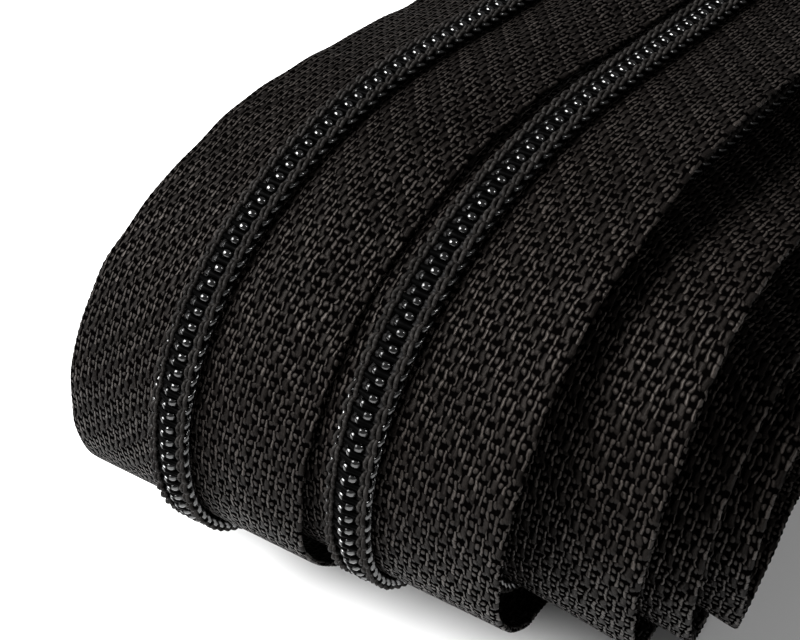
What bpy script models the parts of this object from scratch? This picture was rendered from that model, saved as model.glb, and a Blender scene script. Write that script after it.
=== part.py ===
"""Nylon coil zipper chain wound into a flattened roll, with an auto-lock slider on its free end.

X runs across the strips, Y along them and Z up; the roll rests on Z = 0. Sizes are in millimetres
and are turned into metres where a mesh or an empty is made.
"""

import math

import bmesh
import bpy
from mathutils import Matrix, Vector

MM = 0.001

# The roll is drawn with X = 0 at its first turn and Y = 0 at its front. These move it over the
# origin, the centre of its footprint.
CENTRE = Vector((19.99, 113.02, 0.0))

# Chain, across one strip. W is measured from the chain's centre line and N outward from the tape.
TAPE_EDGE = 12.5
TAPE_GAP = 0.75
TAPE_THICK = 0.5
COIL_OUTER = 2.05
COIL_INNER = 0.15
COIL_FOOT = 0.48
COIL_TOP = 1.45
COIL_SHOULDER = 0.85
COIL_CROWN = 1.05
THREAD_CENTRE = 1.45
THREAD_WIDTH = 0.5

# Roll, one value for each turn from the outermost to the innermost.
FRONT_X = (0.0, 17.0, 25.8, 28.9, 31.8)
FRONT_Y = (0.0, -0.2, 2.9, 5.3, 7.7)
FRONT_Z = (17.5, 17.5, 17.2, 16.0, 16.5)
FRONT_REACH = (33.0, 31.0, 16.0, 12.0, 9.0)
TOP_Z = (39.6, 38.4, 34.0, 27.6, 25.2)
BACK_X = (27.5, 42.4, 47.2, 50.0, 52.6)
BACK_Y = (130.2, 129.4, 126.4, 123.6, 121.0)
BACK_Z = (20.0, 20.0, 19.5, 18.0, 17.5)
# The front bends' lower halves start, and the back bends start, at the same Y on every turn.
LOWER_BEND_Y = 24.3
BACK_BEND_Y = 106.0
# Bottom runs: the free end's first, then the run that follows each turn.
BOTTOM_Z = (1.94, 1.94, 3.6, 5.5, 7.4, 9.3)
FRONT_SLOPE = 0.2
ROUNDNESS = 2.14
QUARTER_STEPS = 4
RUN_STEPS = 3

# How far each strip leans, in degrees, so that its right edge stands outward over the next strip.
LEAN_FRONT = 6.2
LEAN_TOP = 4.0
LEAN_BACK = 5.0
LEAN_BOTTOM = 7.5
# At the middle of each turn's lower front bend, where the inner turns flare.
LEAN_FLARE = (6.8, 6.8, 15.0, 18.0, 21.0)

# Free end, which runs back along the floor with its coils facing down.
TAIL_X = -3.0
TAIL_Z = 2.75
TAIL_FLAT_FROM = 138.0
TAIL_DROP_TO = 104.0
TAIL_PARTED_YS = (192.0, 185.3, 183.0, 181.5, 179.5)
# In front of the slider's pull the tail settles a little, onto a flat of its own.
SETTLE_FROM = 155.0
SETTLE_TO = 153.5
SETTLED_Z = 2.70
INNER_END_Y = 60.0
INNER_END_INWARD = 6.0

# Slider and where the chain parts, along Y.
SLIDER_REAR = 176.8
SLIDER_LENGTH = 8.5
PART_FROM = 177.0
PART_EASE = 6.0
PART_SLOPE = 0.2
PLATE = 0.9
PLATE_LOW = 0.1
PLATE_HIGH = 3.3
FLANGE_TOP = 2.2
NECK_HALF = 0.42
NECK_FROM = 6.4
NECK_TO = 8.1
CAP_LOW = 4.3
CAP_TOP = 7.4
PAWL_TOP = 6.1
PAWL_TIP = 2.75
PAWL_PIVOT = (6.7, 5.9)
PIN_Y = 4.45
PIN_Z = 5.05
PULL_HALF = 2.8
PULL_LENGTH = 26.0
PULL_THICK = 0.8
PULL_DIP = 2.5
GRIP_HOLE = 1.2

# Open ends.
HINGE_Y = 200.0
HINGE_GAP = 0.5
END_TIP_Y = 228.0
END_DROP = 0.9


def clear_scene():
    for found in list(bpy.data.objects):
        bpy.data.objects.remove(found, do_unlink=True)


def material(name, colour, roughness, metallic=0.0):
    made = bpy.data.materials.new(name)
    made.use_nodes = True
    shader = made.node_tree.nodes["Principled BSDF"]
    shader.inputs["Base Color"].default_value = (*colour, 1.0)
    shader.inputs["Roughness"].default_value = roughness
    shader.inputs["Metallic"].default_value = metallic
    return made


def mesh_object(name, corners, faces, look, origin=(0.0, 0.0, 0.0)):
    """One closed body from corners and faces in millimetres, its origin at `origin`."""
    mesh = bpy.data.meshes.new(name)
    mesh.from_pydata([(Vector(c) - Vector(origin)) * MM for c in corners], [], faces)
    mesh.update()
    mesh.materials.append(look)
    made = bpy.data.objects.new(name, mesh)
    made.location = (Vector(origin) - CENTRE) * MM
    bpy.context.collection.objects.link(made)
    return made


# The chain's route. An angle of -90 is the bottom, 0 the front, 90 the top and 180 the back.


def bend_point(angle, tip_y, tip_z, reach, height):
    """A point on one quarter of a rounded bend whose tip is at (tip_y, tip_z)."""
    turn = math.radians(angle)
    across = abs(math.cos(turn)) ** (2 / ROUNDNESS)
    up = math.copysign(abs(math.sin(turn)) ** (2 / ROUNDNESS), math.sin(turn))
    away = 1 if math.cos(turn) > 0 else -1
    return tip_y + away * reach * (1 - across), tip_z + height * up


def quarter(start, tip, reach, height):
    """Quarter bend from `start` degrees, without its last point."""
    step = 90 / QUARTER_STEPS
    angles = [start + step * i for i in range(QUARTER_STEPS)]
    # The tip point of a quarter belongs to its half of the bend.
    return [bend_point(a + (1e-6 if a % 180 == 90 else 0), *tip, reach, height) for a in angles]


def run(y_from, y_to, z):
    """Straight run without its last point."""
    return [(y_from + (y_to - y_from) * i / RUN_STEPS, z) for i in range(RUN_STEPS)]


def lower_front(turn):
    level = BOTTOM_Z[turn]
    tip = (FRONT_Y[turn], FRONT_Z[turn])
    return quarter(-90, tip, LOWER_BEND_Y - FRONT_Y[turn], FRONT_Z[turn] - level)


def one_turn(turn):
    """From the front tip over the top to the back tip, then along the bottom to the next front."""
    front = (FRONT_Y[turn], FRONT_Z[turn])
    back = (BACK_Y[turn], BACK_Z[turn])
    reach, far = FRONT_REACH[turn], BACK_Y[turn] - BACK_BEND_Y
    over = quarter(0, front, reach, TOP_Z[turn] - FRONT_Z[turn])
    over += run(FRONT_Y[turn] + reach, BACK_BEND_Y, TOP_Z[turn])
    over += quarter(90, back, far, TOP_Z[turn] - BACK_Z[turn])
    under = quarter(180, back, far, BACK_Z[turn] - BOTTOM_Z[turn + 1])
    return over, under


def smooth(t):
    t = min(1.0, max(0.0, t))
    return t * t * (3 - 2 * t)


def hermite(t, span, x0, x1, m0, m1):
    a, b = 2 * t**3 - 3 * t**2 + 1, t**3 - 2 * t**2 + t
    return a * x0 + b * span * m0 + (1 - a) * x1 + (t**3 - t**2) * span * m1


def route():
    """Stations from the free end's hinge to the inner end: (x, y, z), lean in degrees."""
    knots = []  # (index, x, slope, lean) where X and the lean are known

    tail_ys = (HINGE_Y - HINGE_GAP, *TAIL_PARTED_YS, PART_FROM, SETTLE_FROM)
    flat = [(y, TAIL_Z) for y in tail_ys] + [(SETTLE_TO, SETTLED_Z), (TAIL_FLAT_FROM, SETTLED_Z)]
    fall = TAIL_FLAT_FROM - TAIL_DROP_TO
    for i in range(1, 4):
        y = TAIL_FLAT_FROM - fall * i / 4
        flat.append((y, BOTTOM_Z[0] + (SETTLED_Z - BOTTOM_Z[0]) * smooth((y - TAIL_DROP_TO) / fall)))
    knots.append((0, TAIL_X, 0.0, 0.0))
    knots.append((len(tail_ys) + 1, TAIL_X, 0.0, 0.0))
    points = flat + run(TAIL_DROP_TO, LOWER_BEND_Y, BOTTOM_Z[0])
    knots.append((len(flat), None, None, LEAN_BOTTOM))
    for turn in range(len(FRONT_X)):
        if turn == 0:
            knots.append((len(points) + QUARTER_STEPS // 2, None, None, LEAN_FLARE[turn]))
            points += lower_front(turn)
        knots.append((len(points), FRONT_X[turn], FRONT_SLOPE, LEAN_FRONT))
        over, under = one_turn(turn)
        knots.append((len(points) + QUARTER_STEPS + RUN_STEPS, None, None, LEAN_TOP))
        knots.append((len(points) + len(over), BACK_X[turn], 0.0, LEAN_BACK))
        points += over + under
        knots.append((len(points), None, None, LEAN_BOTTOM))
        floor = BOTTOM_Z[turn + 1]
        if turn + 1 < len(FRONT_X):
            points += run(BACK_BEND_Y, LOWER_BEND_Y, floor)
            knots.append((len(points), None, None, LEAN_BOTTOM))
            knots.append((len(points) + QUARTER_STEPS // 2, None, None, LEAN_FLARE[turn + 1]))
            points += lower_front(turn + 1)
        else:
            points += run(BACK_BEND_Y, INNER_END_Y, floor) + [(INNER_END_Y, floor)]
            knots.append((len(points) - 1, BACK_X[turn] - INNER_END_INWARD, -0.1, LEAN_BOTTOM))
    return fill_route(points, knots)


def fill_route(points, knots):
    """Give every station its X and its lean from the knots, along the route's length."""
    length = [0.0]
    for (y0, z0), (y1, z1) in zip(points, points[1:]):
        length.append(length[-1] + math.hypot(y1 - y0, z1 - z0))
    sides = [k for k in knots if k[1] is not None]
    stations = []
    for i, (y, z) in enumerate(points):
        a, b = bracket(sides, i)
        span = length[b[0]] - length[a[0]]
        x = hermite((length[i] - length[a[0]]) / span, span, a[1], b[1], a[2], b[2])
        a, b = bracket(knots, i)
        part = (length[i] - length[a[0]]) / (length[b[0]] - length[a[0]])
        stations.append((Vector((x, y, z)), a[3] + (b[3] - a[3]) * smooth(part)))
    return stations


def bracket(knots, i):
    later = next(k for k in range(1, len(knots)) if knots[k][0] >= i)
    return knots[later - 1], knots[later]


def section_frames(stations):
    """(place, across, outward) at each station; the route runs front, top, back, bottom."""
    made = []
    for i, (place, lean) in enumerate(stations):
        before = stations[max(i - 1, 0)][0]
        after = stations[min(i + 1, len(stations) - 1)][0]
        along = (after - before).normalized()
        side = Vector((1.0, 0.0, 0.0))
        side = (side - along * side.dot(along)).normalized()
        out = side.cross(along)
        lean = math.radians(lean)
        across = side * math.cos(lean) + out * math.sin(lean)
        made.append((place, across, out * math.cos(lean) - side * math.sin(lean)))
    return made


def parting(y, z):
    """How far each side has moved off the centre line where the chain is open."""
    t = y - PART_FROM
    if t <= 0 or z > TAIL_Z + 1:
        return 0.0
    return PART_SLOPE * (t * t / (2 * PART_EASE) if t < PART_EASE else t - PART_EASE / 2)


# Cross-sections on the right-hand side, as (w, n) loops.


def tape_section():
    half = TAPE_THICK / 2
    return [(TAPE_GAP, -half), (TAPE_EDGE, -half), (TAPE_EDGE, half), (TAPE_GAP, half)]


def coil_outer_section():
    return [
        (COIL_INNER, COIL_FOOT),
        (COIL_OUTER, COIL_FOOT),
        (COIL_OUTER, COIL_SHOULDER),
        (COIL_CROWN, COIL_TOP),
        (COIL_INNER, COIL_TOP),
    ]


def coil_bore_section():
    wall = 0.2
    low, high = COIL_FOOT + wall, COIL_TOP - wall - 0.05
    return [(COIL_INNER + wall, low), (COIL_OUTER - wall, low), (COIL_CROWN, high), (COIL_INNER + wall, high)]


def cord_section():
    return [(0.6, 0.82), (1.3, 0.82), (1.0, 1.05), (0.6, 1.05)]


def thread_section():
    low = THREAD_CENTRE - THREAD_WIDTH / 2
    high = THREAD_CENTRE + THREAD_WIDTH / 2
    return [(low, 1.48), (high, 1.22), (high + 0.05, 1.42), (low + 0.1, 1.62)]


def sweep(name, stations, loops, side, look, origin=(0.0, 0.0, 0.0)):
    """Sweep one closed loop, or an outer loop and its bore, along the stations."""
    corners, faces = [], []
    rows = []
    for place, across, outward in section_frames(stations):
        shift = parting(place.y, place.z)
        row = []
        for loop in loops:
            first = len(corners)
            corners += [place + across * (side * (w + shift)) + outward * n for w, n in loop]
            row.append(range(first, len(corners)))
        rows.append(row)
    for a, b in zip(rows, rows[1:]):
        for one, two in zip(a, b):
            count = len(one)
            faces += [
                (one[i], one[(i + 1) % count], two[(i + 1) % count], two[i]) for i in range(count)
            ]
    for row in (rows[0], rows[-1]):
        faces += end_faces(row)
    made = mesh_object(name, corners, faces, look, origin)
    face_outward(made.data)
    return made


def end_faces(row):
    """The cut end of a sweep: a plain face, or a ring of faces round a four-sided bore."""
    if len(row) == 1:
        return [tuple(row[0])]
    o, b = row
    return [
        (o[0], o[1], b[1], b[0]),
        (o[1], o[2], b[1]),
        (o[2], o[3], b[2], b[1]),
        (o[3], o[4], b[3], b[2]),
        (o[4], o[0], b[0], b[3]),
    ]


def face_outward(mesh):
    work = bmesh.new()
    work.from_mesh(mesh)
    bmesh.ops.recalc_face_normals(work, faces=work.faces)
    work.to_mesh(mesh)
    work.free()


def end_stations():
    """The open end past its hinge, which droops a little towards the floor."""
    made = []
    for i in range(5):
        t = i / 4
        y = HINGE_Y + (END_TIP_Y - HINGE_Y) * t
        made.append((Vector((TAIL_X, y, TAIL_Z - END_DROP * t * t)), 0.0))
    # The same direction of travel as the closed chain, from the open end to the roll.
    return made[::-1]


# Slider, in its own frame: X across, Y from its rear, Z from the floor.


def prism(name, outline, low, high, look=None):
    """Upright prism on an (x, y) outline."""
    count = len(outline)
    corners = [(x, y, z) for z in (low, high) for x, y in outline]
    faces = [tuple(range(count)), tuple(range(count, 2 * count))]
    faces += [(i, (i + 1) % count, count + (i + 1) % count, count + i) for i in range(count)]
    return slider_piece(name, corners, faces, look)


def side_prism(name, outline, half_width, look=None):
    """Prism on a (y, z) outline, centred on X."""
    count = len(outline)
    corners = [(x, y, z) for x in (-half_width, half_width) for y, z in outline]
    faces = [tuple(range(count)), tuple(range(count, 2 * count))]
    faces += [(i, (i + 1) % count, count + (i + 1) % count, count + i) for i in range(count)]
    return slider_piece(name, corners, faces, look)


def slider_piece(name, corners, faces, look):
    moved = [(x + TAIL_X, y + SLIDER_REAR, z) for x, y, z in corners]
    origin = (TAIL_X, SLIDER_REAR, 0.0)
    if look is None:
        look = bpy.data.materials["slider_body"]
    made = mesh_object(name, moved, faces, look, origin)
    face_outward(made.data)
    return made


def combine(target, tools, operation):
    for number, tool in enumerate(tools):
        tool.hide_render = True
        tool.display_type = "WIRE"
        step = target.modifiers.new(f"{operation.lower()}_{number}", "BOOLEAN")
        step.operation = operation
        step.solver = "EXACT"
        step.object = tool


def shield(rear_half, front_half, y0, y1, corner, steps=3):
    """Rounded outline, wider at the front than at the rear."""
    centres = (
        (rear_half - corner, y0 + corner, -90),
        (front_half - corner, y1 - corner, 0),
        (-front_half + corner, y1 - corner, 90),
        (-rear_half + corner, y0 + corner, 180),
    )
    made = []
    for cx, cy, start in centres:
        for i in range(steps + 1):
            turn = math.radians(start + 90 * i / steps)
            made.append((cx + corner * math.cos(turn), cy + corner * math.sin(turn)))
    return made


def box_outline(x0, x1, y0, y1):
    return [(x0, y0), (x1, y0), (x1, y1), (x0, y1)]


def make_slider_body(look):
    body = prism("slider_body", shield(2.9, 3.7, 0.0, SLIDER_LENGTH, 1.1), PLATE_LOW, PLATE_LOW + PLATE, look)
    upper = prism("upper_plate", shield(2.8, 3.6, 0.1, SLIDER_LENGTH, 1.1), PLATE_HIGH, PLATE_HIGH + PLATE)
    half, y0, y1 = NECK_HALF, NECK_FROM, NECK_TO
    neck = [(0.0, y0), (half, y0 + 0.5), (half, y1 - 0.5), (0.0, y1), (-half, y1 - 0.5), (-half, y0 + 0.5)]
    joined = [prism("neck", neck, PLATE_LOW + 0.3, PLATE_HIGH + 0.5), upper]
    for side in (-1, 1):
        edge = [(2.45, 0.9), (2.85, 0.9), (3.2, 5.0), (2.95, 5.0)]
        wall = [(side * x, y) for x, y in edge]
        joined.append(prism(f"flange_{side}", wall, PLATE_LOW + 0.3, FLANGE_TOP))
    combine(body, joined, "UNION")
    low, high = PLATE_HIGH - 0.5, PLATE_HIGH + PLATE + 0.5
    window = prism("pawl_window", box_outline(-0.6, 0.6, 1.0, 2.5), low, high)
    combine(body, [window], "DIFFERENCE")
    return body


def make_cap(look):
    low, top = CAP_LOW, CAP_TOP
    outer = [(0.5, low), (7.7, low), (7.7, top - 1.0), (7.0, top), (1.4, top), (0.5, top - 1.2)]
    cap = side_prism("slider_cap", outer, 1.5, look)
    roof, shoulder = top - 0.4, top - 1.2
    hollow = [(0.9, low - 1), (7.3, low - 1), (7.3, shoulder), (6.8, roof), (1.6, roof), (0.9, shoulder)]
    side_window = [(3.2, low - 1), (5.7, low - 1), (5.7, low + 1.5), (3.2, low + 1.5)]
    cut = [side_prism("cap_hollow", hollow, 1.05), side_prism("cap_windows", side_window, 3.0)]
    combine(cap, cut, "DIFFERENCE")
    return cap


def make_spring(look):
    """Leaf spring under the cap's roof."""
    top = CAP_TOP - 0.5
    leaf = [(2.2, top - 0.15), (6.6, top - 0.15), (6.6, top), (2.2, top)]
    return side_prism("lock_spring", leaf, 0.6, look)


def make_pawl(look):
    """Strip over the cross bar, with a foot at the front and the locking point at the rear."""
    top, low = PAWL_TOP, PAWL_TOP - 0.35
    foot = PLATE_HIGH + PLATE + 0.1
    strip = [
        (1.5, top), (1.5, PAWL_TIP), (1.9, PAWL_TIP), (1.9, low),
        (6.5, low), (6.5, foot), (6.9, foot), (6.9, top),
    ]
    return side_prism("lock_pawl", strip, 0.3, look)


def make_pull(look):
    half, thick = PULL_HALF, PULL_THICK / 2
    front, tip = PIN_Y + 0.45, PIN_Y - PULL_LENGTH
    z0, z1 = PIN_Z - thick, PIN_Z + thick
    pull = prism("pull_tab", shield(half - 0.35, half, tip, front, 0.6), z0, z1, look)
    slot = prism("pull_slot", box_outline(-1.85, 1.85, 0.0, PIN_Y - 0.45), z0 - 1, z1 + 1)
    turns = [math.tau * i / 16 for i in range(16)]
    hole = [(GRIP_HOLE * math.cos(a), tip + 3.0 + GRIP_HOLE * math.sin(a)) for a in turns]
    combine(pull, [slot, prism("grip_hole", hole, z0 - 1, z1 + 1)], "DIFFERENCE")
    return pull


def move_origin(made, x, y, z):
    """Put an object's origin at a point of the slider's frame without moving its shape."""
    place = (Vector((x + TAIL_X, y + SLIDER_REAR, z)) - CENTRE) * MM
    made.data.transform(Matrix.Translation(made.location - place))
    made.location = place


def make_slider(looks):
    body = make_slider_body(looks["slider_body"])
    cap = make_cap(looks["slider_cap"])
    spring = make_spring(looks["lock_spring"])
    pawl = make_pawl(looks["lock_pawl"])
    move_origin(pawl, 0.0, *PAWL_PIVOT)
    pull = make_pull(looks["pull_tab"])
    for tool in [pull] + [step.object for step in pull.modifiers]:
        move_origin(tool, 0.0, PIN_Y, PIN_Z)
        tool.rotation_euler.x = math.radians(PULL_DIP)
    bpy.context.view_layer.update()
    for child in (cap, spring, pawl, pull):
        child.parent = body
        child.matrix_parent_inverse = body.matrix_world.inverted()


COLOURS = {
    "tape": ((0.012, 0.011, 0.010), 0.85),
    "coil": ((0.006, 0.006, 0.007), 0.28),
    "cord": ((0.02, 0.02, 0.02), 0.9),
    "thread": ((0.05, 0.048, 0.046), 0.75),
}


def make_strips():
    closed, opened = route(), end_stations()
    sections = {
        "tape": [tape_section()],
        "coil": [coil_outer_section(), coil_bore_section()],
        "cord": [cord_section()],
        "thread": [thread_section()],
    }
    for side, word in ((-1, "left"), (1, "right")):
        hinge = (TAIL_X + side * parting(HINGE_Y, TAIL_Z), HINGE_Y - HINGE_GAP / 2, TAIL_Z + TAPE_THICK / 2)
        for kind, loops in sections.items():
            colour, rough = COLOURS[kind]
            name = f"{word}_{kind}"
            sweep(name, closed, loops, side, material(name, colour, rough))
            name += "_end"
            sweep(name, opened, loops, side, material(name, colour, rough), hinge)


def main():
    clear_scene()
    make_strips()
    metal = (0.014, 0.014, 0.015)
    looks = {
        "slider_body": material("slider_body", metal, 0.35, 0.6),
        "slider_cap": material("slider_cap", metal, 0.35, 0.6),
        "lock_spring": material("lock_spring", (0.55, 0.55, 0.55), 0.3, 1.0),
        "lock_pawl": material("lock_pawl", (0.55, 0.55, 0.55), 0.3, 1.0),
        "pull_tab": material("pull_tab", metal, 0.35, 0.6),
    }
    make_slider(looks)


main()
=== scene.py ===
"""Looks for the roll of nylon coil zipper chain: woven tapes, helical coils, stitches, slider and studio.

Shapes are worked out in millimetres in the roll's own frame, as the CAD is, and turned into metres
in the row frame where a mesh is made. S is the distance along the chain from its free end.
"""

import math

import bpy
import numpy as np
from mathutils import Matrix, Vector


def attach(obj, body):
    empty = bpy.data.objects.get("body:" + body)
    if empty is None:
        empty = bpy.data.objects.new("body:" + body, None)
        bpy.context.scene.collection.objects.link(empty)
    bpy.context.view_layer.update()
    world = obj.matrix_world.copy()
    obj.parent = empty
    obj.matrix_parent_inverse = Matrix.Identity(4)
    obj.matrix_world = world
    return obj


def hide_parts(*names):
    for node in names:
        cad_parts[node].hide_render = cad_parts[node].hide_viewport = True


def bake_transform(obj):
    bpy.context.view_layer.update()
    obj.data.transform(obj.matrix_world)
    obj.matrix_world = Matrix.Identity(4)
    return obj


MM = 0.001
CENTRE = np.array((19.99, 113.02, 0.0))

# The route repeats the CAD's: one value for each turn from the outermost to the innermost.
FRONT_X = (0.0, 17.0, 25.8, 28.9, 31.8)
FRONT_Y = (0.0, -0.2, 2.9, 5.3, 7.7)
FRONT_Z = (17.5, 17.5, 17.2, 16.0, 16.5)
FRONT_REACH = (33.0, 31.0, 16.0, 12.0, 9.0)
TOP_Z = (39.6, 38.4, 34.0, 27.6, 25.2)
BACK_X = (27.5, 42.4, 47.2, 50.0, 52.6)
BACK_Y = (130.2, 129.4, 126.4, 123.6, 121.0)
BACK_Z = (20.0, 20.0, 19.5, 18.0, 17.5)
LOWER_BEND_Y = 24.3
BACK_BEND_Y = 106.0
BOTTOM_Z = (1.94, 1.94, 3.6, 5.5, 7.4, 9.3)
FRONT_SLOPE = 0.2
ROUNDNESS = 2.14
LEAN_FRONT, LEAN_TOP, LEAN_BACK, LEAN_BOTTOM = 6.2, 4.0, 5.0, 7.5
LEAN_FLARE = (6.8, 6.8, 15.0, 18.0, 21.0)
TAIL_X = -3.0
TAIL_Z = 2.75
SETTLE_FROM = 155.0
SETTLE_TO = 153.5
SETTLED_Z = 2.70
TAIL_FLAT_FROM = 138.0
TAIL_DROP_TO = 104.0
INNER_END_Y = 60.0
INNER_END_INWARD = 6.0
PART_FROM = 177.0
PART_EASE = 6.0
PART_SLOPE = 0.2
HINGE_Y = 200.0
END_TIP_Y = 228.0
END_DROP = 0.9
QUARTER_STEPS = 40
RUN_STEP = 1.0

# Where a strip's fixed part hands over to its open end, and where the end's bend lies.
HANDOVER_Y = 196.0

# Tape. Its inner edge closes in under the coil where the chain is closed.
TAPE_GAP = 0.75
CLOSED_GAP = 0.12
CLOSED_FROM_S = 78.0
CLOSED_EASE = 10.0
TAPE_HALF = 0.23
# A turn's right edge sags towards the turn beside it.
EDGE_DROOP = 0.7
TOP_DROOP = 0.9
DROOP_TO_S = 440.0
DROOP_EASE = 60.0
# Soft ripples of a tape's free edge, as wavelength and height, and the selvage's scallops.
RIPPLES = ((5.3, 0.035), (8.9, 0.05), (14.6, 0.06), (31.0, 0.07))
SWAY_STRETCH = 1.37
SCALLOP = 0.045
TAPE_SEEDS = {-1: 3, 1: 5}

# Weave: one pick, and one pair of warp ends.
PICK = 0.70
END_PAIR = 0.72

# Chain, with how far each coil loop strays.
PITCH = 1.17
COIL_STRAY = 0.018
COIL_SEEDS = {-1: 8, 1: 7}
THREAD_W = 1.48
THREAD_RADIUS = 0.165
STITCH_STRAY = (0.03, 0.02, 0.015, 0.05)
CORD_W, CORD_N = 0.92, 0.86
CORD_HALF = (0.30, 0.10)
CORD_STEP = 0.8
CORD_SHORT = 0.2
# The roll's chain is made in lengths that start at these S, each with the samples in a loop and
# the sides of the filament: finer where the coil shows.
CHAIN_STARTS = (0.0, 190.0, 430.0, 730.0)
CHAIN_DETAIL = ((18, 8), (20, 9), (20, 9), (12, 6))
END_DETAIL = (18, 8)
UPPER_DETAIL = (13, 6)
BACK_DETAIL = (6, 5)

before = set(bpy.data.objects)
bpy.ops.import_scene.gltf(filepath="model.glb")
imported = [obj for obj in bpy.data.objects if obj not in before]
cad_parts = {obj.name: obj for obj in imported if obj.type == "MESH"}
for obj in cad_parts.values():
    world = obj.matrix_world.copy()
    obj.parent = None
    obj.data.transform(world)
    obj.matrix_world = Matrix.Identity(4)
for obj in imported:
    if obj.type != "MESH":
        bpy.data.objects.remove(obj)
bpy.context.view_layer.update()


# ---------------------------------------------------------------- route


def bend_point(angle, tip_y, tip_z, reach, height):
    turn = math.radians(angle)
    across = abs(math.cos(turn)) ** (2 / ROUNDNESS)
    up = math.copysign(abs(math.sin(turn)) ** (2 / ROUNDNESS), math.sin(turn))
    away = 1 if math.cos(turn) > 0 else -1
    return tip_y + away * reach * (1 - across), tip_z + height * up


def quarter(start, tip, reach, height):
    angles = [start + 90 * i / QUARTER_STEPS for i in range(QUARTER_STEPS)]
    return [bend_point(a + (1e-6 if a % 180 == 90 else 0), *tip, reach, height) for a in angles]


def run(y_from, y_to, z):
    steps = max(1, round(abs(y_to - y_from) / RUN_STEP))
    return [(y_from + (y_to - y_from) * i / steps, z) for i in range(steps)]


def lower_front(turn):
    tip = (FRONT_Y[turn], FRONT_Z[turn])
    return quarter(-90, tip, LOWER_BEND_Y - FRONT_Y[turn], FRONT_Z[turn] - BOTTOM_Z[turn])


def one_turn(turn):
    front, back = (FRONT_Y[turn], FRONT_Z[turn]), (BACK_Y[turn], BACK_Z[turn])
    reach, far = FRONT_REACH[turn], BACK_Y[turn] - BACK_BEND_Y
    over = quarter(0, front, reach, TOP_Z[turn] - FRONT_Z[turn])
    top_run = run(FRONT_Y[turn] + reach, BACK_BEND_Y, TOP_Z[turn])
    over += top_run + quarter(90, back, far, TOP_Z[turn] - BACK_Z[turn])
    under = quarter(180, back, far, BACK_Z[turn] - BOTTOM_Z[turn + 1])
    return over, under, len(top_run)


def smooth(t):
    t = np.clip(t, 0.0, 1.0)
    return t * t * (3 - 2 * t)


def route_points():
    """Points (y, z) from the free end's handover to the inner end, and knots for X and lean."""
    knots = [(0, TAIL_X, 0.0, 0.0)]
    points = run(HANDOVER_Y, SETTLE_FROM, TAIL_Z) + [(SETTLE_FROM, TAIL_Z)]
    points += run(SETTLE_TO, TAIL_FLAT_FROM, SETTLED_Z)
    knots.append((len(points), TAIL_X, 0.0, 0.0))
    fall = TAIL_FLAT_FROM - TAIL_DROP_TO
    for y, _ in run(TAIL_FLAT_FROM, TAIL_DROP_TO, 0.0):
        points.append((y, BOTTOM_Z[0] + (SETTLED_Z - BOTTOM_Z[0]) * float(smooth((y - TAIL_DROP_TO) / fall))))
    points += run(TAIL_DROP_TO, LOWER_BEND_Y, BOTTOM_Z[0])
    knots.append((len(points), None, None, LEAN_BOTTOM))
    for turn in range(len(FRONT_X)):
        if turn == 0:
            knots.append((len(points) + QUARTER_STEPS // 2, None, None, LEAN_FLARE[turn]))
            points += lower_front(turn)
        knots.append((len(points), FRONT_X[turn], FRONT_SLOPE, LEAN_FRONT))
        over, under, flat = one_turn(turn)
        knots.append((len(points) + QUARTER_STEPS + flat, None, None, LEAN_TOP))
        knots.append((len(points) + len(over), BACK_X[turn], 0.0, LEAN_BACK))
        points += over + under
        knots.append((len(points), None, None, LEAN_BOTTOM))
        floor = BOTTOM_Z[turn + 1]
        if turn + 1 < len(FRONT_X):
            points += run(BACK_BEND_Y, LOWER_BEND_Y, floor)
            knots.append((len(points), None, None, LEAN_BOTTOM))
            knots.append((len(points) + QUARTER_STEPS // 2, None, None, LEAN_FLARE[turn + 1]))
            points += lower_front(turn + 1)
        else:
            points += run(BACK_BEND_Y, INNER_END_Y, floor) + [(INNER_END_Y, floor)]
            knots.append((len(points) - 1, BACK_X[turn] - INNER_END_INWARD, -0.1, LEAN_BOTTOM))
    return np.array(points), knots


def hermite(t, span, x0, x1, m0, m1):
    a, b = 2 * t**3 - 3 * t**2 + 1, t**3 - 2 * t**2 + t
    return a * x0 + b * span * m0 + (1 - a) * x1 + (t**3 - t**2) * span * m1


class Strip:
    """A path with a place, an across direction and an outward direction at every S."""

    def __init__(self, places, leans):
        along = np.gradient(places, axis=0)
        along /= np.linalg.norm(along, axis=1)[:, None]
        side = np.array((1.0, 0.0, 0.0)) - along * along[:, :1]
        side /= np.linalg.norm(side, axis=1)[:, None]
        out = np.cross(side, along)
        lean = np.radians(leans)[:, None]
        self.across = side * np.cos(lean) + out * np.sin(lean)
        self.outward = out * np.cos(lean) - side * np.sin(lean)
        self.places = places
        self.along = along
        steps = np.linalg.norm(np.diff(places, axis=0), axis=1)
        self.s = np.concatenate([[0.0], np.cumsum(steps)])
        self.length = self.s[-1]
        # Where coil loops fall, and the first and last S that one may have.
        self.phase, self.coil_from, self.coil_to = 0.0, -0.2, self.length - 1.0

    def at(self, field, s):
        return np.stack([np.interp(s, self.s, field[:, k]) for k in range(3)], -1)

    def point(self, s, w, n, side):
        """Row-frame points in metres; w is the distance from the chain's centre line."""
        past = (s - np.clip(s, 0.0, self.length))[..., None]
        place = self.at(self.places, s) + self.at(self.along, s) * past
        shift = parting(place[..., 1], place[..., 2])
        flat = self.at(self.across, s) * (side * (w + shift))[..., None]
        return (place + flat + self.at(self.outward, s) * n[..., None] - CENTRE) * MM


def parting(y, z):
    t = np.maximum(y - PART_FROM, 0.0)
    eased = np.where(t < PART_EASE, t * t / (2 * PART_EASE), t - PART_EASE / 2)
    return np.where(z > TAIL_Z + 1, 0.0, PART_SLOPE * eased)


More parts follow.
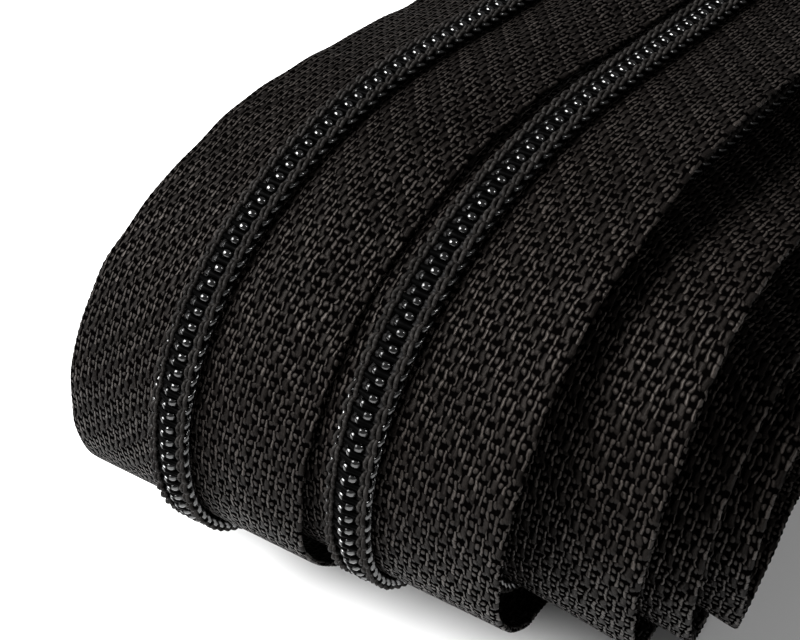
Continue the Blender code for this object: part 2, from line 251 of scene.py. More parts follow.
def roll_strip():
    points, knots = route_points()
    length = np.concatenate([[0.0], np.cumsum(np.hypot(*np.diff(points, axis=0).T))])
    x, lean = np.zeros(len(points)), np.zeros(len(points))
    sides = [k for k in knots if k[1] is not None]
    for a, b in zip(sides, sides[1:]):
        i = np.arange(a[0], b[0] + 1)
        span = length[b[0]] - length[a[0]]
        x[i] = hermite((length[i] - length[a[0]]) / span, span, a[1], b[1], a[2], b[2])
    for a, b in zip(knots, knots[1:]):
        i = np.arange(a[0], b[0] + 1)
        t = (length[i] - length[a[0]]) / (length[b[0]] - length[a[0]])
        lean[i] = a[3] + (b[3] - a[3]) * smooth(t)
    return Strip(np.column_stack([x, points]), lean)


def end_strip():
    """The open end, from its tip to the handover, so that it travels the same way as the roll."""
    y = np.linspace(END_TIP_Y, HANDOVER_Y, 65)
    drop = np.clip((y - HINGE_Y) / (END_TIP_Y - HINGE_Y), 0.0, 1.0) ** 2
    places = np.column_stack([np.full(len(y), TAIL_X), y, TAIL_Z - END_DROP * drop])
    made = Strip(places, np.zeros(len(y)))
    made.phase, made.coil_from, made.coil_to = made.length % PITCH, 0.8, made.length - 0.2
    return made


# ---------------------------------------------------------------- meshes


def new_mesh(name, points, quads, looks, fields=None, caps=()):
    """A smooth mesh object from metre points and quads, with per-vertex vector attributes."""
    mesh = bpy.data.meshes.new(name)
    quads = np.asarray(quads, np.int32)
    loops = np.concatenate([quads.ravel()] + [np.asarray(c, np.int32) for c in caps])
    totals = np.concatenate([np.full(len(quads), 4), [len(c) for c in caps]]).astype(np.int32)
    starts = np.concatenate([[0], np.cumsum(totals)[:-1]]).astype(np.int32)
    mesh.vertices.add(len(points))
    mesh.vertices.foreach_set("co", np.asarray(points, np.float32).ravel())
    mesh.loops.add(len(loops))
    mesh.loops.foreach_set("vertex_index", loops)
    mesh.polygons.add(len(totals))
    mesh.polygons.foreach_set("loop_start", starts)
    mesh.polygons.foreach_set("loop_total", totals)
    mesh.polygons.foreach_set("use_smooth", np.ones(len(totals), bool))
    mesh.update(calc_edges=True)
    for field, values in (fields or {}).items():
        made = mesh.attributes.new(field, "FLOAT_VECTOR", "POINT")
        made.data.foreach_set("vector", np.asarray(values, np.float32).ravel())
    mesh.materials.append(looks)
    made = bpy.data.objects.new(name, mesh)
    bpy.context.scene.collection.objects.link(made)
    return made


def ring_quads(rings, count):
    """Quads between `rings` closed rings of `count` points each."""
    a = np.arange(rings - 1)[:, None] * count
    i = np.arange(count)[None, :]
    j = (i + 1) % count
    return np.stack([a + i, a + j, a + count + j, a + count + i], -1).reshape(-1, 4)


def tube(lines, radii, axes, sides, facing):
    """Tubes along lines (L, P, 3) with radii (P, 2) and first axes (L, P, 3); points and quads."""
    tangent = np.gradient(lines, axis=1)
    tangent /= np.linalg.norm(tangent, axis=2, keepdims=True)
    first = axes - tangent * (axes * tangent).sum(2, keepdims=True)
    first /= np.linalg.norm(first, axis=2, keepdims=True)
    second = np.cross(tangent, first) * facing
    turn = np.arange(sides) * math.tau / sides
    ring = (
        first[:, :, None] * (radii[:, 0, None] * np.cos(turn))[None, :, :, None]
        + second[:, :, None] * (radii[:, 1, None] * np.sin(turn))[None, :, :, None]
    )
    points = lines[:, :, None] + ring * MM
    count, per = len(lines), lines.shape[1]
    quads = ring_quads(per, sides)
    if facing < 0:
        quads = quads[:, ::-1]
    every = (np.arange(count) * per * sides)[:, None, None] + quads[None]
    caps = []
    for k in range(count):
        first_ring = k * per * sides + np.arange(sides)
        last_ring = first_ring + (per - 1) * sides
        caps += [first_ring[::facing], last_ring[::-facing]]
    return points.reshape(-1, 3), every.reshape(-1, 4), [c[::-1] for c in caps]


def between(p0, p1, p2, p3, f):
    """Catmull-Rom points, a share f of the way from p1 to p2."""
    return 0.5 * (
        2 * p1 + (p2 - p0) * f + (2 * p0 - 5 * p1 + 4 * p2 - p3) * f**2
        + (3 * p1 - p0 - 3 * p2 + p3) * f**3
    )


def catmull(controls, samples):
    """Points on a Catmull-Rom curve through the rows of `controls`, ends included."""
    padded = np.vstack([2 * controls[0] - controls[1], controls, 2 * controls[-1] - controls[-2]])
    t = np.linspace(0, len(controls) - 1, samples)
    i = np.minimum(t.astype(int), len(controls) - 2)
    return between(*(padded[i + k] for k in range(4)), (t - i)[:, None])


# One loop of coil filament: w, n, share of a pitch, half width along the chain, half thickness.
LOOP = np.array((
    (1.62, 0.46, -0.03, 0.235, 0.20),
    (0.85, 0.46, 0.00, 0.235, 0.20),
    (0.10, 0.50, 0.00, 0.24, 0.21),
    (-0.36, 0.62, 0.00, 0.29, 0.22),
    (-0.60, 0.92, 0.00, 0.32, 0.20),
    (-0.40, 1.21, 0.00, 0.33, 0.19),
    (0.02, 1.22, 0.00, 0.28, 0.21),
    (0.70, 1.06, 0.01, 0.235, 0.21),
    (1.48, 0.96, 0.08, 0.235, 0.21),
    (1.92, 0.78, 0.46, 0.225, 0.20),
))


def pitch_marks(strip, side, s_from, s_to):
    """S of every coil loop of one side; the two sides interlock half a pitch apart."""
    offset = 0.0 if side > 0 else 0.5
    marks = np.arange(math.ceil(s_from / PITCH), math.floor(s_to / PITCH))
    return (marks + offset) * PITCH + strip.phase


def loop_shape(samples):
    """Rows like LOOP's along one loop, which runs on into the next."""
    pitch = np.array((0, 0, 1, 0, 0))
    one = np.vstack([LOOP[-1] - pitch, LOOP, LOOP[0] + pitch, LOOP[1] + pitch])
    t = np.linspace(0, len(LOOP), samples, endpoint=False)
    i = t.astype(int)
    return between(one[i], one[i + 1], one[i + 2], one[i + 3], (t - i)[:, None])


def make_coil(name, strip, side, s_from, s_to, detail, looks):
    """The coil of one side from s_from to s_to."""
    samples, sides = detail
    starts = pitch_marks(strip, side, s_from, s_to)
    starts = starts[(starts > strip.coil_from) & (starts < strip.coil_to)]
    shape = loop_shape(samples)
    rng = np.random.default_rng(COIL_SEEDS[side])
    jitter = rng.normal(0, COIL_STRAY, (len(starts), 2))
    s = starts[:, None] + shape[None, :, 2] * PITCH + jitter[:, :1]
    w = np.broadcast_to(shape[None, :, 0], s.shape) + jitter[:, 1:]
    n = np.broadcast_to(shape[None, :, 1], s.shape)
    s, w, n = s.ravel(), w.ravel(), n.ravel()
    line = strip.point(s, w, n, side)[None]
    ahead = strip.point(np.minimum(s + 0.2, strip.length), w, n, side)
    behind = strip.point(np.maximum(s - 0.2, 0.0), w, n, side)
    radii = np.tile(shape[:, 3:5], (len(starts), 1))
    points, quads, caps = tube(line, radii, (ahead - behind)[None], sides, side)
    return new_mesh(name, points, quads, looks, {"chain": chain_field(s, w, sides)}, caps)


def chain_field(s, w, sides):
    """S and W of every point of a tube, for its material."""
    field = np.column_stack([s, w, np.zeros(len(s))])
    return np.repeat(field, sides, axis=0)


# One chain stitch over a coil leg: share of a pitch, w from the seam, n.
STITCH = np.array((
    (1.00, 0.04, 0.66), (0.92, 0.07, 0.92), (0.70, 0.17, 1.22), (0.44, 0.24, 1.28), (0.20, 0.24, 1.18),
    (0.03, 0.14, 0.98), (-0.02, 0.0, 0.86),
    (0.03, -0.14, 0.98), (0.20, -0.24, 1.18), (0.44, -0.24, 1.28), (0.70, -0.17, 1.22), (0.92, -0.07, 0.92),
    (1.00, -0.04, 0.66),
))
BACK_STITCH = np.array((
    (0.02, 0.0, -0.16), (0.12, 0.0, -0.29), (0.5, 0.0, -0.33), (0.88, 0.0, -0.29), (0.98, 0.0, -0.16),
))


def make_stitches(name, strip, side, s_from, s_to, shape, detail, looks, seed):
    """A row of stitches along the seam, one for each coil loop."""
    samples, sides = detail
    starts = pitch_marks(strip, side, s_from, s_to) - PITCH / 2
    starts = starts[(starts > strip.coil_from - 0.5) & (starts < strip.coil_to - 0.75)]
    one = catmull(shape, samples)
    rng = np.random.default_rng(seed)
    wobble = rng.normal(0, 1, (len(starts), 4)) * STITCH_STRAY
    s = starts[:, None] + one[None, :, 0] * PITCH + wobble[:, :1]
    away = THREAD_W + one[None, :, 1] * (1 + wobble[:, 3:] * 2) + wobble[:, 1:2]
    n = one[None, :, 2] + wobble[:, 2:3]
    lines = strip.point(s, away, n, side)
    up = strip.at(strip.outward, s)
    radii = np.full((samples, 2), THREAD_RADIUS)
    points, quads, caps = tube(lines, radii, up, sides, side)
    field = np.column_stack([s.ravel(), away.ravel(), np.repeat(starts, samples)])
    return new_mesh(name, points, quads, looks, {"chain": np.repeat(field, sides, axis=0)}, caps)


def make_cord(name, strip, side, looks):
    """Flat filler cord inside the coil."""
    s = np.arange(CORD_SHORT, strip.length - CORD_SHORT, CORD_STEP)
    s = np.append(s, strip.length - CORD_SHORT)
    w, n = np.full(len(s), CORD_W), np.full(len(s), CORD_N)
    line = strip.point(s, w, n, side)[None]
    across = (strip.at(strip.across, s) * side)[None]
    radii = np.tile(CORD_HALF, (len(s), 1))
    points, quads, caps = tube(line, radii, across, 8, side)
    return new_mesh(name, points, quads, looks, {"chain": chain_field(s, w, 8)}, caps)


def tape_profile():
    """(w, n) round the tape's cross-section, up over the top and back underneath."""
    top = [(w, TAPE_HALF) for w in (0.9, 2.1, 3.6, 5.4, 7.2, 9.0, 10.6, 11.9)]
    edge = [(12.36, 0.20), (12.52, 0.0), (12.36, -0.20)]
    under = [(w, -TAPE_HALF) for w in (11.9, 10.0, 7.5, 5.0, 2.6, 0.9)]
    return np.array(top + edge + under + [(TAPE_GAP, 0.0)])


def ripples(s, length, seed):
    """Lift and sideways sway of a tape's free edge at each S, none at its two ends."""
    rng = np.random.default_rng(seed)
    lift, sway = np.zeros(len(s)), np.zeros(len(s))
    for wavelength, amount in RIPPLES:
        lift += amount * np.sin(math.tau * s / wavelength + rng.uniform(0, math.tau))
        sway += amount * np.sin(math.tau * s / (wavelength * SWAY_STRETCH) + rng.uniform(0, math.tau))
    ends = smooth(s / 3.0) * smooth((length - s) / 3.0)
    return lift * ends, sway * ends


def sag(strip, s):
    """How far the right tape's edge sags at each S: where it faces up, and hardly past DROOP_TO_S."""
    facing = strip.at(strip.outward, s)[:, 2]
    first = 1 - 0.95 * smooth((s - DROOP_TO_S) / DROOP_EASE)
    droop = EDGE_DROOP + TOP_DROOP * np.clip(facing, 0.0, 1.0)
    return droop * smooth((facing + 0.3) / 0.6) * first


def make_tape(name, strip, side, looks, seed):
    """Woven tape: a closed ribbon with a rounded, slightly scalloped selvage and soft ripples."""
    s = np.arange(0.0, strip.length, PICK / 2)
    s = np.append(s, strip.length)
    profile = tape_profile()
    ss, k = np.meshgrid(s, np.arange(len(profile)), indexing="ij")
    w, n = profile[k, 0].copy(), profile[k, 1].copy()
    if strip.length > CLOSED_FROM_S:
        closed = smooth((s - CLOSED_FROM_S) / CLOSED_EASE)[:, None]
        w -= closed * (TAPE_GAP - CLOSED_GAP) * np.clip(1 - (w - TAPE_GAP) / 1.3, 0.0, 1.0)
    lift, sway = ripples(s, strip.length, seed)
    free = np.clip((w - 3.0) / 9.0, 0.0, 1.0)
    n += lift[:, None] * free**1.5
    if side > 0:
        n -= sag(strip, s)[:, None] * smooth((w - 5.5) / 7.0)
    w += sway[:, None] * free**2
    scallop = np.where(np.arange(len(s)) % 2 == 0, SCALLOP, -SCALLOP)[:, None]
    w += scallop * np.clip((w - 12.2) / 0.3, 0.0, 1.0)
    points = strip.point(ss, w, n, side).reshape(-1, 3)
    quads = ring_quads(len(s), len(profile))
    if side < 0:
        quads = quads[:, ::-1]
    last = (len(s) - 1) * len(profile)
    caps = [np.arange(len(profile))[::side], (last + np.arange(len(profile)))[::-side]]
    field = np.column_stack([w.ravel(), ss.ravel() + seed * 3.1, profile[k, 1].ravel()])
    return new_mesh(name, points, quads, looks, {"weave": field}, caps)


# ---------------------------------------------------------------- materials


class Nodes:
    """Short calls that add and link shader nodes in one tree."""

    def __init__(self, tree):
        self.tree = tree

    def add(self, kind, **settings):
        made = self.tree.nodes.new(kind)
        for key, value in settings.items():
            setattr(made, key, value)
        return made

    def feed(self, socket, value):
        if isinstance(value, bpy.types.NodeSocket):
            self.tree.links.new(value, socket)
        elif value is not None:
            socket.default_value = value

    def math(self, operation, a, b=None, c=None, clamp=False):
        made = self.add("ShaderNodeMath", operation=operation, use_clamp=clamp)
        for socket, value in zip(made.inputs, (a, b, c)):
            self.feed(socket, value)
        return made.outputs[0]

    def vector(self, operation, a, b=None):
        made = self.add("ShaderNodeVectorMath", operation=operation)
        self.feed(made.inputs[0], a)
        self.feed(made.inputs[1], b)
        return made.outputs["Value" if operation in ("DOT_PRODUCT", "LENGTH") else 0]

    def join(self, x, y, z=0.0):
        made = self.add("ShaderNodeCombineXYZ")
        for socket, value in zip(made.inputs, (x, y, z)):
            self.feed(socket, value)
        return made.outputs[0]

    def split(self, vector):
        made = self.add("ShaderNodeSeparateXYZ")
        self.feed(made.inputs[0], vector)
        return made.outputs

    def noise(self, vector, scale, detail=2.0, rough=0.5):
        made = self.add("ShaderNodeTexNoise")
        self.feed(made.inputs["Vector"], vector)
        self.feed(made.inputs["Scale"], scale)
        self.feed(made.inputs["Detail"], detail)
        self.feed(made.inputs["Roughness"], rough)
        return made.outputs["Fac"]

    def chance(self, vector):
        made = self.add("ShaderNodeTexWhiteNoise", noise_dimensions="3D")
        self.feed(made.inputs["Vector"], vector)
        return made.outputs["Value"]

    def remap(self, value, a, b, c, d, kind="LINEAR"):
        made = self.add("ShaderNodeMapRange", interpolation_type=kind)
        for socket, v in zip(made.inputs, (value, a, b, c, d)):
            self.feed(socket, v)
        return made.outputs[0]

    def mix(self, share, a, b):
        made = self.add("ShaderNodeMix", data_type="RGBA")
        self.feed(made.inputs[0], share)
        self.feed(made.inputs[6], a)
        self.feed(made.inputs[7], b)
        return made.outputs[2]

    def attribute(self, name):
        return self.add("ShaderNodeAttribute", attribute_name=name).outputs["Vector"]

    def bump(self, height, distance, strength=1.0):
        made = self.add("ShaderNodeBump")
        self.feed(made.inputs["Strength"], strength)
        self.feed(made.inputs["Distance"], distance)
        self.feed(made.inputs["Height"], height)
        return made.outputs[0]


def rgb(red, green, blue):
    return red, green, blue, 1.0


def grey(value):
    return rgb(value, value, value)


def new_material(name):
    made = bpy.data.materials.new(name)
    made.use_nodes = True
    return made, Nodes(made.node_tree), made.node_tree.nodes["Principled BSDF"]


def float_group():
    """Node group: height of one rounded yarn float at a point of the weave's repeat."""
    group = bpy.data.node_groups.new("yarn_float", "ShaderNodeTree")
    for name in ("Point", "Place", "Half", "Radius"):
        group.interface.new_socket(name, in_out="INPUT", socket_type="NodeSocketVector")
    group.interface.new_socket("Peak", in_out="INPUT", socket_type="NodeSocketFloat")
    group.interface.new_socket("Height", in_out="OUTPUT", socket_type="NodeSocketFloat")
    n = Nodes(group)
    start, end = n.add("NodeGroupInput").outputs, n.add("NodeGroupOutput").inputs
    away = n.vector("ABSOLUTE", n.vector("SUBTRACT", start["Point"], start["Place"]))
    away = n.vector("MAXIMUM", n.vector("SUBTRACT", away, start["Half"]), (0.0, 0.0, 0.0))
    away = n.vector("DIVIDE", away, start["Radius"])
    left = n.math("MAXIMUM", n.math("SUBTRACT", 1.0, n.vector("DOT_PRODUCT", away, away)), 0.0)
    n.feed(end[0], n.math("MULTIPLY", n.math("SQRT", left), start["Peak"]))
    return group


# Floats of one pick, in pairs of warp ends across and picks along: place, half length, radius,
# height, and how light it is painted: the yarn's tone plus a painted highlight that makes the narrow dashes
# lightest.
FLOATS = (
    ((0.05, 0.58), (0.07, 0.38), (0.26, 0.32), 0.82, 0.28),
    ((3.12, 0.02), (0.07, 0.16), (0.26, 0.28), 0.80, 0.26),
    ((0.60, 0.26), (0.03, 0.02), (0.22, 0.30), 0.88, 0.60),
    ((1.13, 0.52), (0.00, 0.32), (0.18, 0.24), 1.00, 1.00),
    ((1.64, 0.28), (0.03, 0.02), (0.23, 0.30), 0.86, 0.56),
    ((2.18, 0.50), (0.00, 0.30), (0.18, 0.24), 0.96, 0.86),
    ((2.68, 0.26), (0.03, 0.02), (0.22, 0.30), 0.80, 0.50),
    ((3.42, 0.62), (0.00, 0.28), (0.15, 0.24), 0.86, 0.66),
)


def weave(n, group):
    """Height and lightness of the tape's broken twill, one chance a float, and the spot (W, S). The lightness
    is painted light: highest on the floats' crests, none in the gaps.
    """
    w, s, _ = n.split(n.attribute("weave"))
    spot = n.join(w, s)
    drift = n.noise(spot, 0.35, 1.0)
    drift2 = n.noise(n.vector("ADD", spot, (31.0, 17.0, 5.0)), 0.9, 1.0)
    fine = n.noise(n.vector("ADD", spot, (7.0, 3.0, 2.0)), 1.7, 1.0)
    w = n.math("ADD", w, n.math("MULTIPLY", n.math("SUBTRACT", drift, 0.5), 0.35))
    w = n.math("ADD", w, n.math("MULTIPLY", n.math("SUBTRACT", fine, 0.5), 0.38))
    s = n.math("ADD", s, n.math("MULTIPLY", n.math("SUBTRACT", drift2, 0.5), 0.60))
    pick = n.math("DIVIDE", s, PICK)
    row = n.math("FLOOR", pick)
    down = n.math("SUBTRACT", 1.0, n.math("SUBTRACT", pick, row))
    x = n.math("ADD", n.math("DIVIDE", w, END_PAIR), row)
    x = n.math("SUBTRACT", n.math("FLOORED_MODULO", n.math("ADD", x, 0.5), 4.0), 0.5)
    point = n.join(x, down)
    height, light = 0.0, 0.0
    for place, half, radius, peak, tone_and_painted_light in FLOATS:
        made = n.add("ShaderNodeGroup", node_tree=group)
        for name, value in (("Place", place), ("Half", half)):
            made.inputs[name].default_value = (*value, 0.0)
        made.inputs["Radius"].default_value = (*radius, 1.0)
        made.inputs["Peak"].default_value = peak
        n.feed(made.inputs["Point"], point)
        here = made.outputs[0]
        # Each float's lightness follows its height: painted highlight at its crest, painted shade towards its
        # edges and in the gaps.
        light = n.math("MAXIMUM", light, n.math("MULTIPLY", here, tone_and_painted_light))
        height = n.math("SMOOTH_MAX", height, here, 0.08) if height != 0.0 else here
    repeat = n.math("FLOOR", n.math("DIVIDE", w, END_PAIR * 4))
    cell = n.join(n.math("FLOOR", n.math("MULTIPLY", x, 1.8)), row, repeat)
    return height, light, n.chance(cell), spot


def tape_material(name, group):
    """Woven polyester: each float's colour takes its own share of lightness, painted lighter at its crest, over
    near-black gaps of painted shade.
    """
    made, n, shader = new_material(name)
    height, light, chance, spot = weave(n, group)
    fibre = n.noise(n.vector("MULTIPLY", spot, (9.0, 2.5, 1.0)), 1.6, 3.0, 0.65)
    wide = n.noise(spot, 0.12, 3.0, 0.6)
    tone_and_painted_light = n.remap(light, 0.0, 1.15, 0.0, 0.92)
    tone_and_painted_light = n.math("MULTIPLY", tone_and_painted_light, n.remap(chance, 0.0, 1.0, 0.55, 1.38))
    tone_and_painted_light = n.math("MULTIPLY", tone_and_painted_light, n.remap(fibre, 0.25, 0.75, 0.6, 1.4))
    tone_and_painted_light = n.math("MULTIPLY", tone_and_painted_light, n.remap(wide, 0.3, 0.7, 0.85, 1.15))
    # Base colour: the near-black end is painted shade in the weave's gaps, the light end is the floats' painted
    # highlight; chance, fibre and wide add real tone.
    base = n.mix(tone_and_painted_light, rgb(0.0005, 0.0004, 0.0004), rgb(0.0214, 0.0176, 0.0156))
    n.feed(shader.inputs["Base Color"], base)
    n.feed(shader.inputs["Roughness"], n.remap(fibre, 0.2, 0.8, 0.42, 0.62))
    n.feed(shader.inputs["Specular IOR Level"], n.math("MULTIPLY", tone_and_painted_light, 0.30, clamp=True))
    shader.inputs["Specular Tint"].default_value = rgb(1.0, 0.91, 0.84)
    relief = n.math("ADD", height, n.math("MULTIPLY", fibre, 0.15))
    n.feed(shader.inputs["Normal"], n.bump(relief, 0.00022, 1.0))
    return made


def filament_material(name):
    """Black monofilament, polished on its heads and outer bends, with dulled patches."""
    made, n, shader = new_material(name)
    spot = n.attribute("chain")
    away = n.split(spot)[1]
    dull = n.noise(n.vector("MULTIPLY", spot, (1.0, 2.0, 0.0)), 0.8, 3.0, 0.6)
    rise, fall = n.remap(away, -0.60, -0.50, 0.0, 1.0), n.remap(away, -0.30, -0.16, 1.0, 0.0)
    head = n.math("MULTIPLY", rise, fall)
    worn = n.math("MAXIMUM", head, n.remap(away, 1.64, 1.80, 0.0, 0.9, "SMOOTHSTEP"))
    n.feed(shader.inputs["Base Color"], n.mix(dull, grey(0.0003), grey(0.0006)))
    rough = n.math("ADD", n.remap(worn, 0.0, 1.0, 0.45, 0.15), n.remap(dull, 0.3, 0.7, -0.03, 0.04))
    n.feed(shader.inputs["Roughness"], rough)
    n.feed(shader.inputs["Specular IOR Level"], n.remap(worn, 0.0, 1.0, 0.006, 1.0))
    fine = n.noise(spot, 6.0, 2.0, 0.5)
    n.feed(shader.inputs["Normal"], n.bump(fine, 0.00002, 0.12))
    return made


def thread_material(name, dark, light):
    """Twisted sewing thread: slanting plies along its length, with the grooves between them painted darker as
    painted shade.
    """
    made, n, shader = new_material(name)
    s, w, start = n.split(n.attribute("chain"))
    ply = n.math("SINE", n.math("ADD", n.math("MULTIPLY", s, 14.0), n.math("MULTIPLY", w, 26.0)))
    chance = n.chance(n.join(start, 0.0, 0.0))
    fibre = n.noise(n.join(s, w, start), 7.0, 3.0, 0.6)
    # The plies' grooves are painted darker, painted shade in the twist; chance and fibre vary the tone at
    # random.
    share = n.remap(ply, -1.0, 1.0, 0.55, 1.0)
    share = n.math("MULTIPLY", share, n.remap(chance, 0.0, 1.0, 0.7, 1.1))
    share = n.math("MULTIPLY", share, n.remap(fibre, 0.3, 0.7, 0.75, 1.15))
    n.feed(shader.inputs["Base Color"], n.mix(share, dark, light))
    n.feed(shader.inputs["Roughness"], n.remap(fibre, 0.2, 0.8, 0.45, 0.75))
    n.feed(shader.inputs["Specular IOR Level"], n.math("MULTIPLY", share, 0.12, clamp=True))
    n.feed(shader.inputs["Normal"], n.bump(n.math("ADD", ply, fibre), 0.00004, 0.8))
    return made


def enamel_material(name):
    """Black enamel over die-cast zinc: faint orange peel, softly rubbed."""
    made, n, shader = new_material(name)
    place = n.add("ShaderNodeNewGeometry").outputs["Position"]
    peel = n.noise(place, 2600.0, 2.0, 0.5)
    worn = n.noise(place, 420.0, 4.0, 0.65)
    base = n.mix(n.remap(worn, 0.55, 0.75, 0.0, 1.0), rgb(0.008, 0.008, 0.0085), rgb(0.020, 0.0195, 0.019))
    n.feed(shader.inputs["Base Color"], base)
    n.feed(shader.inputs["Roughness"], n.remap(worn, 0.35, 0.7, 0.22, 0.42))
    shader.inputs["Coat Weight"].default_value = 0.35
    shader.inputs["Coat Roughness"].default_value = 0.15
    n.feed(shader.inputs["Normal"], n.bump(peel, 0.00003, 0.5))
    return made


def steel_material(name):
    made, n, shader = new_material(name)
    place = n.add("ShaderNodeNewGeometry").outputs["Position"]
    brushed = n.noise(n.vector("MULTIPLY", place, (9000.0, 900.0, 4000.0)), 1.0, 3.0, 0.6)
    n.feed(shader.inputs["Base Color"], n.mix(brushed, rgb(0.42, 0.42, 0.43), rgb(0.60, 0.60, 0.61)))
    n.feed(shader.inputs["Roughness"], n.remap(brushed, 0.3, 0.7, 0.25, 0.42))
    shader.inputs["Metallic"].default_value = 1.0
    n.feed(shader.inputs["Normal"], n.bump(brushed, 0.00001, 0.5))
    return made


# ---------------------------------------------------------------- chain


def ends_blend(piece):
    """Bakes an open-end piece's placement into its mesh; its bend past the hinge line is already in the end
    strip's path.
    """
    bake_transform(piece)


def make_side(side, roll, tip, looks):
    """One side of the roll's strip, then its open end."""
    word = "left" if side < 0 else "right"
    seed = TAPE_SEEDS[side]
    tape = make_tape(f"{word}_tape_cloth", roll, side, looks["tape"], seed)
    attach(tape, "chain")
    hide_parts(f"{word}_tape")

    def keep(piece, slot, *nodes):
        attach(piece, "chain")
        if nodes:
            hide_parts(*nodes)

    stops = (*CHAIN_STARTS[1:], roll.length)
    for number, (a, b, detail) in enumerate(zip(CHAIN_STARTS, stops, CHAIN_DETAIL), 1):
        coil = make_coil(f"{word}_coil_{number}", roll, side, a, b, detail, looks["coil"])
        keep(coil, "coil", *([f"{word}_coil"] if number == 1 else []))
        name = f"{word}_stitches_{number}"
        upper = make_stitches(name, roll, side, a, b, STITCH, UPPER_DETAIL, looks["thread"], seed + 20 + number)
        keep(upper, "thread", *([f"{word}_thread"] if number == 1 else []))
    keep(make_cord(f"{word}_filler_cord", roll, side, looks["cord"]), "cord", f"{word}_cord")
    name = f"{word}_back_stitches"
    back = make_stitches(name, roll, side, 0, roll.length, BACK_STITCH, BACK_DETAIL, looks["thread"], seed + 40)
    keep(back, "thread")
    make_open_end(side, word, tip, looks, seed)


def make_open_end(side, word, tip, looks, seed):
    """The same pieces past the slider, where they bend over the hinge line."""
    whole, thread = (0, tip.length), looks["thread"]
    tape = make_tape(f"{word}_tape_end_cloth", tip, side, looks["tape"], seed + 1)
    coil = make_coil(f"{word}_coil_end_loops", tip, side, *whole, END_DETAIL, looks["coil"])
    upper = make_stitches(f"{word}_end_stitches", tip, side, *whole, STITCH, UPPER_DETAIL, thread, seed + 60)
    name = f"{word}_end_back_stitches"
    back = make_stitches(name, tip, side, *whole, BACK_STITCH, BACK_DETAIL, thread, seed + 70)
    cord = make_cord(f"{word}_end_filler_cord", tip, side, looks["cord"])
    for piece, slot, node in (
        (tape, "tape", "tape_end"), (coil, "coil", "coil_end"), (upper, "thread", "thread_end"),
        (cord, "cord", "cord_end"), (back, "thread", None),
    ):
        ends_blend(piece)
        if node:
            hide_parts(f"{word}_{node}")


# ---------------------------------------------------------------- slider


# Each slider piece's finish, and the width of its rounded edges.
SLIDER_FINISH = (
    ("slider_body", "enamel", 0.12), ("slider_cap", "enamel", 0.18), ("pull_tab", "enamel", 0.16),
    ("lock_spring", "steel", 0.03), ("lock_pawl", "steel", 0.04),
)
WELD_METRES = 0.000002
SHARP_DEGREES = 35


def dress_slider(looks):
    """Finishes and rounded edges on the slider's own CAD pieces."""
    for name, look, width in SLIDER_FINISH:
        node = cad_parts[name]
        for slot in node.material_slots:
            slot.link = "OBJECT"
            slot.material = looks[look]
        weld = node.modifiers.new("weld", "WELD")
        weld.merge_threshold = WELD_METRES
        bevel = node.modifiers.new("edges", "BEVEL")
        bevel.width = width * MM
        bevel.segments = 3
        bevel.limit_method = "ANGLE"
        bevel.angle_limit = math.radians(SHARP_DEGREES)
        bevel.harden_normals = False
        for face in node.data.polygons:
            face.use_smooth = True


# ---------------------------------------------------------------- studio

CAMERA_PLACE = (59.85, -48.05, 78.90)
AZIMUTH, ELEVATION, ROLL = 36.35, 34.73, -11.08
LENS = 53.49
# Place, target and size in metres, and power in watts.
KEY_LIGHT = ((-0.60, -0.45, 0.76), (0.0, -0.08, 0.02), 0.62, 34.0)
EDGE_LIGHT = ((0.50, -0.10, 0.55), (0.0, -0.08, 0.02), 0.10, 1.3)
SKY = 0.20
FLOOR_HALF = 3.0
FLOOR_Z = -0.0001


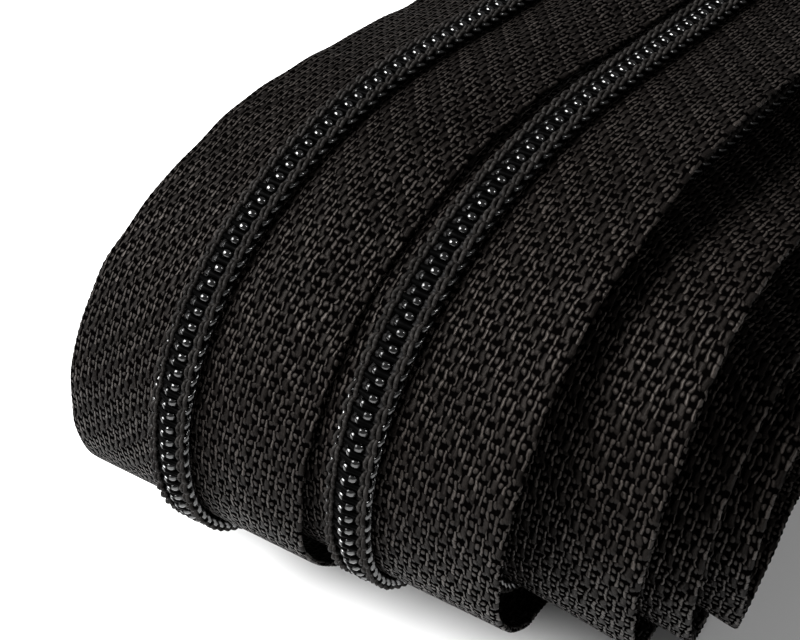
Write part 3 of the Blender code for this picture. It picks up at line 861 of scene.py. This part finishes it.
def make_camera():
    a, e, r = (math.radians(v) for v in (AZIMUTH, ELEVATION, ROLL))
    back = Vector((math.sin(a) * math.cos(e), -math.cos(a) * math.cos(e), math.sin(e)))
    right = Vector((math.cos(a), math.sin(a), 0.0))
    up = back.cross(right)
    turned = right * math.cos(r) + up * math.sin(r)
    upward = -right * math.sin(r) + up * math.cos(r)
    data = bpy.data.cameras.new("camera")
    data.lens = LENS
    data.clip_start = 0.002
    made = bpy.data.objects.new("camera", data)
    made.matrix_world = Matrix.Translation((np.array(CAMERA_PLACE) - CENTRE) * MM) @ Matrix(
        (turned, upward, back)
    ).transposed().to_4x4()
    bpy.context.scene.collection.objects.link(made)
    bpy.context.scene.camera = made


def area_light(name, place, target, size, power):
    data = bpy.data.lights.new(name, "AREA")
    data.shape = "RECTANGLE"
    data.size = data.size_y = size
    data.energy = power
    made = bpy.data.objects.new(name, data)
    made.location = place
    made.rotation_euler = (Vector(target) - Vector(place)).to_track_quat("-Z", "Y").to_euler()
    bpy.context.scene.collection.objects.link(made)


def make_floor():
    corners = [(x * FLOOR_HALF, y * FLOOR_HALF, 0) for x, y in ((-1, -1), (1, -1), (1, 1), (-1, 1))]
    made, n, shader = new_material("studio_floor")
    place = n.add("ShaderNodeNewGeometry").outputs["Position"]
    n.feed(shader.inputs["Base Color"], n.mix(n.noise(place, 4.0, 2.0), grey(0.80), grey(0.83)))
    shader.inputs["Roughness"].default_value = 0.9
    floor = new_mesh("floor", np.array(corners), [(0, 1, 2, 3)], made)
    floor.location.z = FLOOR_Z


def make_studio():
    world = bpy.data.worlds.new("studio")
    bpy.context.scene.world = world
    world.use_nodes = True
    background = world.node_tree.nodes["Background"]
    background.inputs["Color"].default_value = grey(1.0)
    background.inputs["Strength"].default_value = SKY
    area_light("key", *KEY_LIGHT)
    area_light("edge", *EDGE_LIGHT)
    make_floor()


def main():
    bpy.context.scene.view_settings.view_transform = "Standard"
    make_camera()
    group = float_group()
    looks = {
        "tape": tape_material("woven_tape", group),
        "coil": filament_material("nylon_filament"),
        "thread": thread_material("sewing_thread", rgb(0.0006, 0.0005, 0.0005), rgb(0.0170, 0.0152, 0.0140)),
        "cord": thread_material("filler_cord", grey(0.001), rgb(0.006, 0.0055, 0.0055)),
        "enamel": enamel_material("black_enamel"),
        "steel": steel_material("spring_steel"),
    }
    roll, tip = roll_strip(), end_strip()
    for side in (-1, 1):
        make_side(side, roll, tip, looks)
    dress_slider(looks)
    make_studio()


main()
